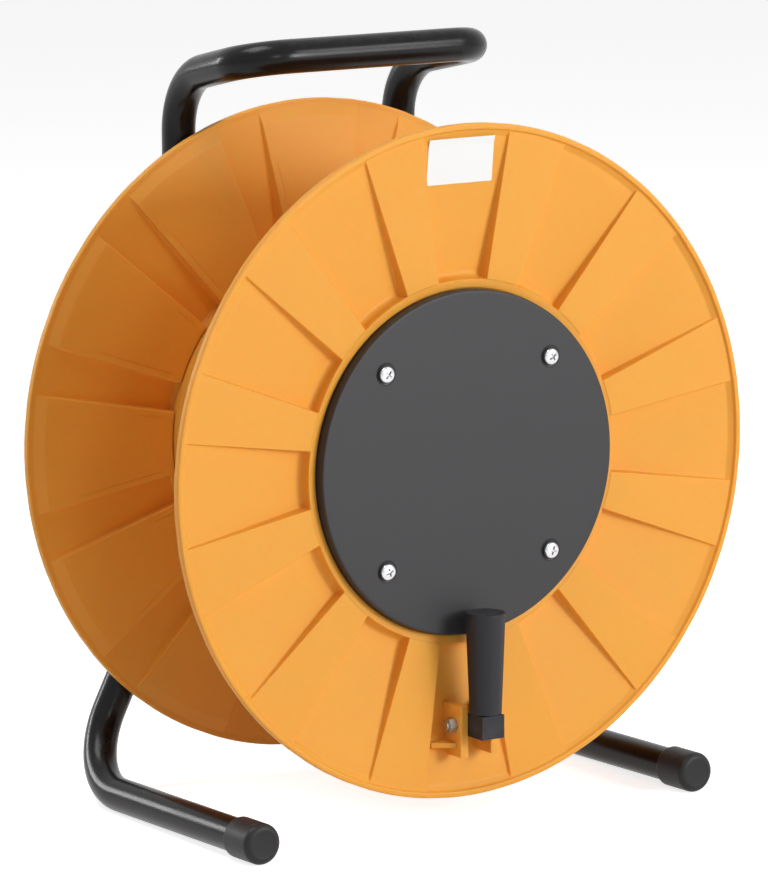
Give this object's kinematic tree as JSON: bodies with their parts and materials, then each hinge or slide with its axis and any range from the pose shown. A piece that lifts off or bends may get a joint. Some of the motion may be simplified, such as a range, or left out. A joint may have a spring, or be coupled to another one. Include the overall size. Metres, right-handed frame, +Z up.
{
  "type": "plastic cable reel",
  "caption": "Empty cable reel: a ribbed plastic drum that turns on a bent tube stand with a carrying bar, wound by a fold-away crank.",
  "frame": {"origin": "on the floor, under the centre of the reel's bounding box", "axes": "+Z up, +Y along the drum axis from the front flange to the back, +X to the right seen from the front"},
  "size_m": [0.38, 0.2188, 0.4385],
  "materials": {
    "stand_paint": "black powder coat, satin gloss",
    "cap_plastic": "black soft plastic",
    "steel": "turned steel, zinc plated",
    "drum_plastic": "moulded orange plastic, satin",
    "cover_plastic": "moulded dark grey plastic, fine grain",
    "screw_zinc": "bright zinc",
    "label_film": "blank white film label",
    "crank_plastic": "moulded black plastic, fine grain"
  },
  "bodies": {
    "frame": {"stand_tube": "stand_paint", "foot_cap_left": "cap_plastic", "foot_cap_right": "cap_plastic", "bearing_plate": "stand_paint", "axle": "steel", "axle_clip": "steel"},
    "drum": {"flange_front": "drum_plastic", "flange_rear": "drum_plastic", "barrel": "drum_plastic", "cover_plate": "cover_plastic", "cover_screw_1": "screw_zinc", "cover_screw_2": "screw_zinc", "cover_screw_3": "screw_zinc", "cover_screw_4": "screw_zinc", "label": "label_film", "crank_bolt": "steel", "crank_nut": "steel"},
    "crank": {"crank_block": "crank_plastic"},
    "grip": {"crank_grip": "crank_plastic"}
  },
  "joints": [
    {"name": "drum_spin", "type": "hinge", "parent": "frame", "child": "drum", "pos_m": [0, 0, 0.206], "axis": [0, 1, 0], "continuous": true},
    {"name": "crank_fold", "type": "hinge", "parent": "drum", "child": "crank", "pos_m": [0, -0.0853, 0.059], "axis": [1, 0, 0], "range_deg": [0, 90]},
    {"name": "grip_spin", "type": "hinge", "parent": "crank", "child": "grip", "pos_m": [0, -0.09815, 0.1], "axis": [0, 0, 1], "continuous": true}
  ]
}
